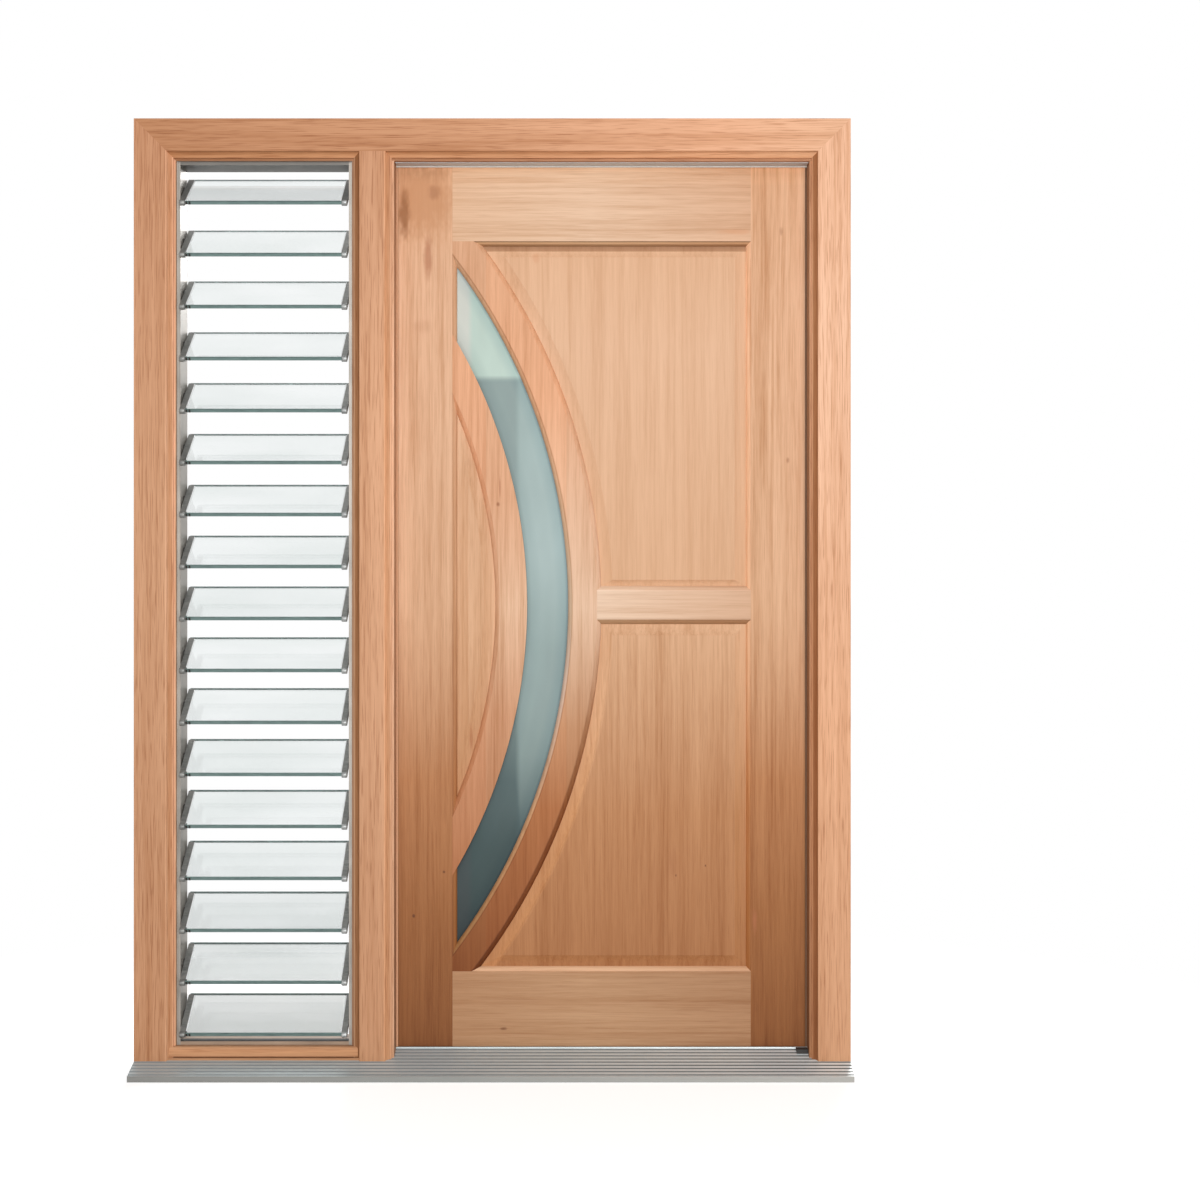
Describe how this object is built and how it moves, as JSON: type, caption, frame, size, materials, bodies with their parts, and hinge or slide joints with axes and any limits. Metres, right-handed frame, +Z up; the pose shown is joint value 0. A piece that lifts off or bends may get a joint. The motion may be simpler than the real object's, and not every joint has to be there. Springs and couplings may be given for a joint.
{
  "type": "glazed door set",
  "caption": "Timber entrance door with a crescent glass light and raised panels, in a mitred frame with a louvred glass sidelight and a ribbed metal sill.",
  "frame": {"origin": "underside of the sill, below the middle of the frame's outer face", "axes": "+Z up, +X to the right seen from outside, +Y from outside to inside"},
  "size_m": [1.58, 0.1973, 2.109],
  "materials": {
    "frame_timber": "clear oiled hardwood, fine straight grain",
    "leaf_timber": "clear oiled hardwood, paler at the head",
    "louvre_glass": "clear float glass with ground edges",
    "crescent_glass": "grey-green satin glass unit",
    "sill_aluminium": "mill finish extrusion",
    "gallery_aluminium": "satin anodised",
    "seal_rubber": "pale grey weather strip",
    "hinge_steel": "satin stainless"
  },
  "bodies": {
    "frame": {"sill": "sill_aluminium", "left_jamb": "frame_timber", "right_jamb": "frame_timber", "head": "frame_timber", "mullion": "frame_timber", "sidelight_sill": "frame_timber", "weather_seal": "seal_rubber", "louvre_channel_left": "gallery_aluminium", "louvre_channel_right": "gallery_aluminium", "louvre_channel_head": "gallery_aluminium", "louvre_channel_foot": "gallery_aluminium", "louvre_clips_left": "gallery_aluminium", "louvre_clips_right": "gallery_aluminium", "louvre_blade_01": "louvre_glass", "louvre_blade_02": "louvre_glass", "louvre_blade_03": "louvre_glass", "louvre_blade_04": "louvre_glass", "louvre_blade_05": "louvre_glass", "louvre_blade_06": "louvre_glass", "louvre_blade_07": "louvre_glass", "louvre_blade_08": "louvre_glass", "louvre_blade_09": "louvre_glass", "louvre_blade_10": "louvre_glass", "louvre_blade_11": "louvre_glass", "louvre_blade_12": "louvre_glass", "louvre_blade_13": "louvre_glass", "louvre_blade_14": "louvre_glass", "louvre_blade_15": "louvre_glass", "louvre_blade_16": "louvre_glass", "louvre_blade_17": "louvre_glass", "hinge_frame_plates": "hinge_steel"},
    "leaf": {"lock_stile": "leaf_timber", "hinge_stile": "leaf_timber", "top_rail": "leaf_timber", "mid_rail": "leaf_timber", "bottom_rail": "leaf_timber", "outer_arch_rail": "leaf_timber", "inner_arch_rail": "leaf_timber", "upper_panel": "leaf_timber", "lower_panel": "leaf_timber", "arch_panel": "leaf_timber", "crescent_glass": "crescent_glass", "glazing_beads": "leaf_timber", "hinge_leaf_plates": "hinge_steel"}
  },
  "joints": [
    {"name": "leaf_swing", "type": "hinge", "parent": "frame", "child": "leaf", "pos_m": [0.71275, 0.1243, 1.0365], "axis": [0, 0, -1], "range_deg": [0, 110]}
  ]
}
